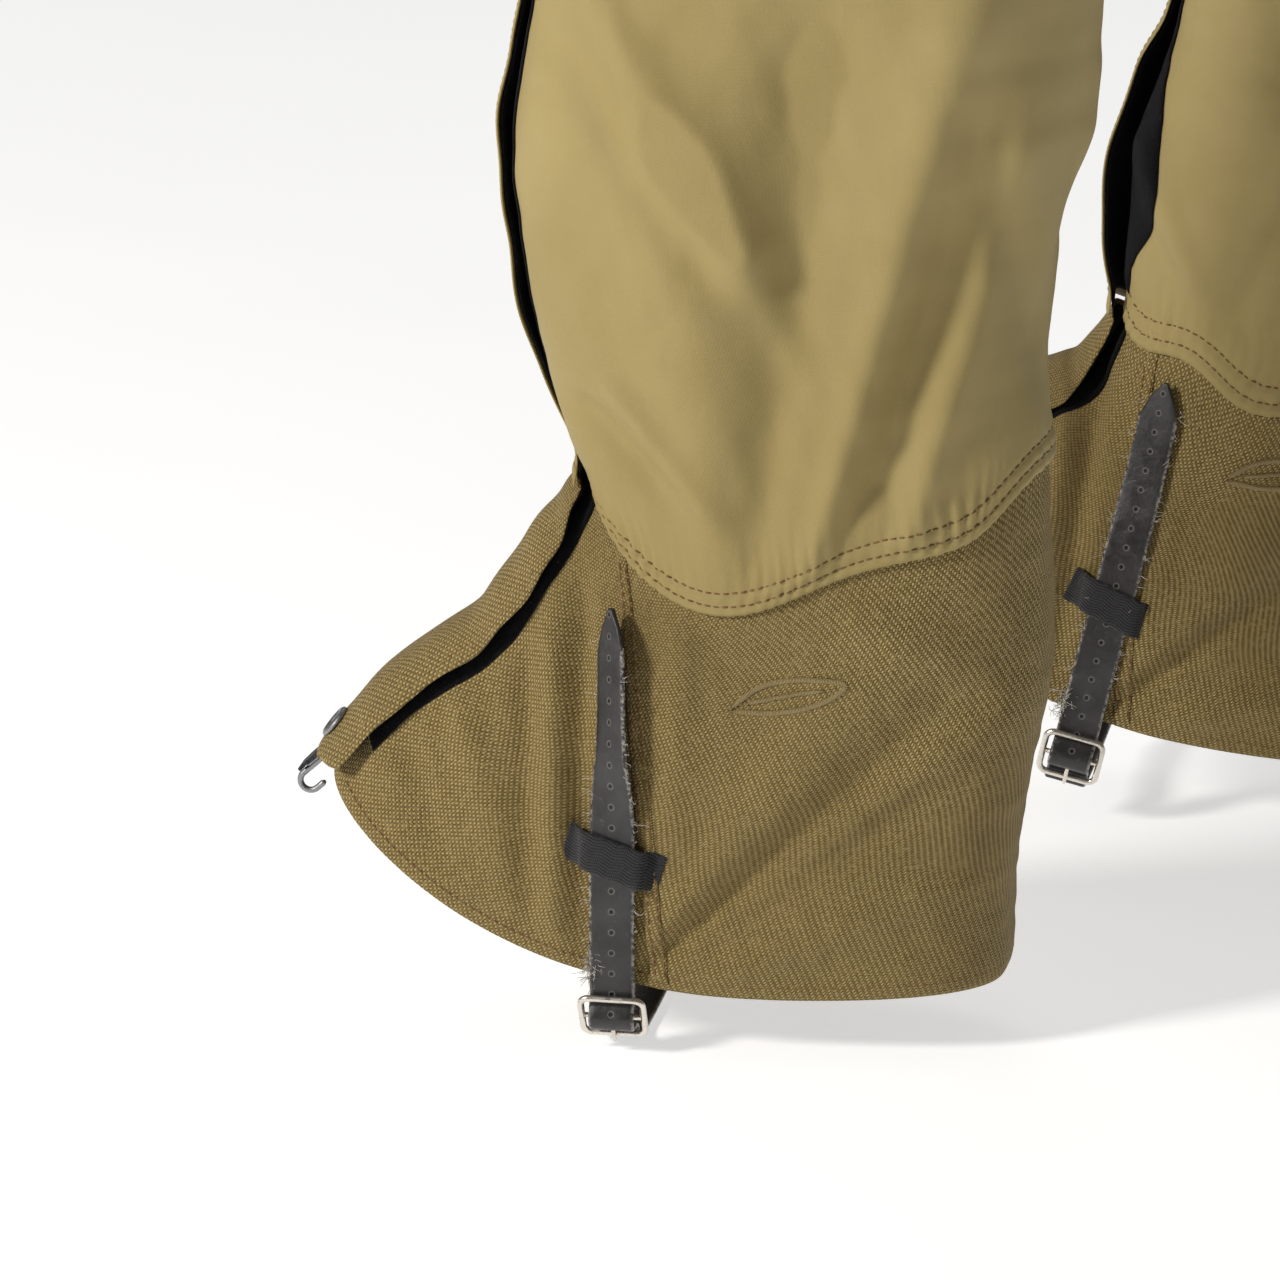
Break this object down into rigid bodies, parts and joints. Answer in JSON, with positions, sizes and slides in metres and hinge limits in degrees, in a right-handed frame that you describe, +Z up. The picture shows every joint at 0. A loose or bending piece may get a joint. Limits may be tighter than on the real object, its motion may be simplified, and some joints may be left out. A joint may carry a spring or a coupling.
{
  "type": "hiking gaiters",
  "caption": "Pair of tall hiking gaiters with front hook-and-loop flap, ankle elastic, webbing cinch at the top and a buckled strap under the boot.",
  "frame": {"origin": "centre of the pair's box in plan, at the lowest point of the arch straps", "axes": "toes to -Y, buckle side of both gaiters to +X, +Z up"},
  "size_m": [0.399, 0.5261, 0.4637],
  "materials": {
    "upper_cloth": "matte coated laminate",
    "lower_cloth": "coarse basket-weave nylon",
    "tape": "hook and loop pile",
    "webbing": "woven webbing",
    "strap": "worn coated strap",
    "nickel": "nickel plate",
    "plastic": "moulded",
    "elastic": "knitted elastic"
  },
  "bodies": {
    "left_gaiter": {"left_ankle_elastic": "elastic", "left_arch_strap": "strap", "left_buckle_tab": "webbing", "left_cam_buckle_base": "plastic", "left_cam_pin": "nickel", "left_cinch_webbing": "webbing", "left_lower_front_inner": "lower_cloth", "left_lower_front_outer": "lower_cloth", "left_lower_loop_tape": "tape", "left_lower_rear": "lower_cloth", "left_strap_keeper": "webbing", "left_toe_snap_stud": "nickel", "left_top_channel": "upper_cloth", "left_top_snap_stud": "nickel", "left_upper_loop_tape": "tape", "left_upper_shell": "upper_cloth"},
    "left_buckle_frame": {"left_buckle_frame": "nickel"},
    "left_buckle_prong": {"left_buckle_prong": "nickel"},
    "left_cam_lever": {"left_cam_lever": "plastic"},
    "left_lace_hook": {"left_lace_hook": "nickel", "left_lace_hook_tab": "webbing"},
    "left_lower_flap": {"left_lower_flap": "lower_cloth", "left_lower_hook_tape": "tape", "left_toe_snap_cap": "nickel"},
    "left_strap_tip": {"left_strap_tip": "strap"},
    "left_upper_flap": {"left_upper_flap": "upper_cloth", "left_upper_hook_tape": "tape", "left_top_snap_cap": "nickel"},
    "right_buckle_frame": {"right_buckle_frame": "nickel"},
    "right_buckle_prong": {"right_buckle_prong": "nickel"},
    "right_cam_lever": {"right_cam_lever": "plastic"},
    "right_gaiter": {"right_ankle_elastic": "elastic", "right_arch_strap": "strap", "right_buckle_tab": "webbing", "right_cam_buckle_base": "plastic", "right_cam_pin": "nickel", "right_cinch_webbing": "webbing", "right_lower_front_inner": "lower_cloth", "right_lower_front_outer": "lower_cloth", "right_lower_loop_tape": "tape", "right_lower_rear": "lower_cloth", "right_strap_keeper": "webbing", "right_toe_snap_stud": "nickel", "right_top_channel": "upper_cloth", "right_top_snap_stud": "nickel", "right_upper_loop_tape": "tape", "right_upper_shell": "upper_cloth"},
    "right_lace_hook": {"right_lace_hook": "nickel", "right_lace_hook_tab": "webbing"},
    "right_lower_flap": {"right_lower_flap": "lower_cloth", "right_lower_hook_tape": "tape", "right_toe_snap_cap": "nickel"},
    "right_strap_tip": {"right_strap_tip": "strap"},
    "right_upper_flap": {"right_upper_flap": "upper_cloth", "right_upper_hook_tape": "tape", "right_top_snap_cap": "nickel"}
  },
  "joints": [
    {"name": "right_foot_stride", "type": "slide", "parent": "left_gaiter", "child": "right_gaiter", "axis": [0, -1, 0], "range_m": [-0.15, 0.15]},
    {"name": "left_upper_flap_hinge", "type": "hinge", "parent": "left_gaiter", "child": "left_upper_flap", "pos_m": [0.10481, -0.14233, 0.31458], "axis": [-0.0202, -0.0297, 0.9994], "range_deg": [-68, 0]},
    {"name": "left_lower_flap_hinge", "type": "hinge", "parent": "left_gaiter", "child": "left_lower_flap", "pos_m": [0.10642, -0.1868, 0.12186], "axis": [0.0173, 0.6856, 0.7277], "range_deg": [-40, 0]},
    {"name": "left_lace_hook_swing", "type": "hinge", "parent": "left_lower_flap", "child": "left_lace_hook", "pos_m": [0.1375, -0.25287, 0.09076], "axis": [1, 0, 0], "range_deg": [-40, 0]},
    {"name": "left_cam_lever_hinge", "type": "hinge", "parent": "left_gaiter", "child": "left_cam_lever", "pos_m": [0.1763, -0.16431, 0.43544], "axis": [-0.0066, 0.0049, 1], "range_deg": [-95, 0]},
    {"name": "left_strap_tip_flex", "type": "hinge", "parent": "left_gaiter", "child": "left_strap_tip", "pos_m": [0.18493, -0.14163, 0.08392], "axis": [0.0681, 0.9977, 0], "range_deg": [0, 60]},
    {"name": "left_buckle_frame_swing", "type": "hinge", "parent": "left_gaiter", "child": "left_buckle_frame", "pos_m": [0.186, -0.1413, 0.0134], "axis": [0, 1, 0], "range_deg": [-8, 8]},
    {"name": "left_buckle_prong_hinge", "type": "hinge", "parent": "left_buckle_frame", "child": "left_buckle_prong", "pos_m": [0.186, -0.1413, 0.0134], "axis": [0, 1, 0], "range_deg": [-70, 0]},
    {"name": "right_upper_flap_hinge", "type": "hinge", "parent": "right_gaiter", "child": "right_upper_flap", "pos_m": [-0.1718, 0.06569, 0.31916], "axis": [-0.0085, 0.3295, 0.9441], "range_deg": [-68, 0]},
    {"name": "right_lower_flap_hinge", "type": "hinge", "parent": "right_gaiter", "child": "right_lower_flap", "pos_m": [-0.17016, -0.04134, 0.13952], "axis": [-0.006, 0.8407, 0.5414], "range_deg": [-40, 0]},
    {"name": "right_lace_hook_swing", "type": "hinge", "parent": "right_lower_flap", "child": "right_lace_hook", "pos_m": [-0.1375, -0.1145, 0.12406], "axis": [1, 0, 0], "range_deg": [-40, 0]},
    {"name": "right_cam_lever_hinge", "type": "hinge", "parent": "right_gaiter", "child": "right_cam_lever", "pos_m": [-0.09854, 0.08794, 0.4403], "axis": [-0.1319, 0.2304, 0.9641], "range_deg": [-95, 0]},
    {"name": "right_strap_tip_flex", "type": "hinge", "parent": "right_gaiter", "child": "right_strap_tip", "pos_m": [-0.09008, 0.0017, 0.10099], "axis": [0.0638, 0.9883, -0.1389], "range_deg": [0, 60]},
    {"name": "right_buckle_frame_swing", "type": "hinge", "parent": "right_gaiter", "child": "right_buckle_frame", "pos_m": [-0.0855, -0.01521, 0.02899], "axis": [0, 0.9724, -0.2334], "range_deg": [-8, 8]},
    {"name": "right_buckle_prong_hinge", "type": "hinge", "parent": "right_buckle_frame", "child": "right_buckle_prong", "pos_m": [-0.0855, -0.01521, 0.02899], "axis": [0, 0.9724, -0.2334], "range_deg": [-70, 0]}
  ]
}
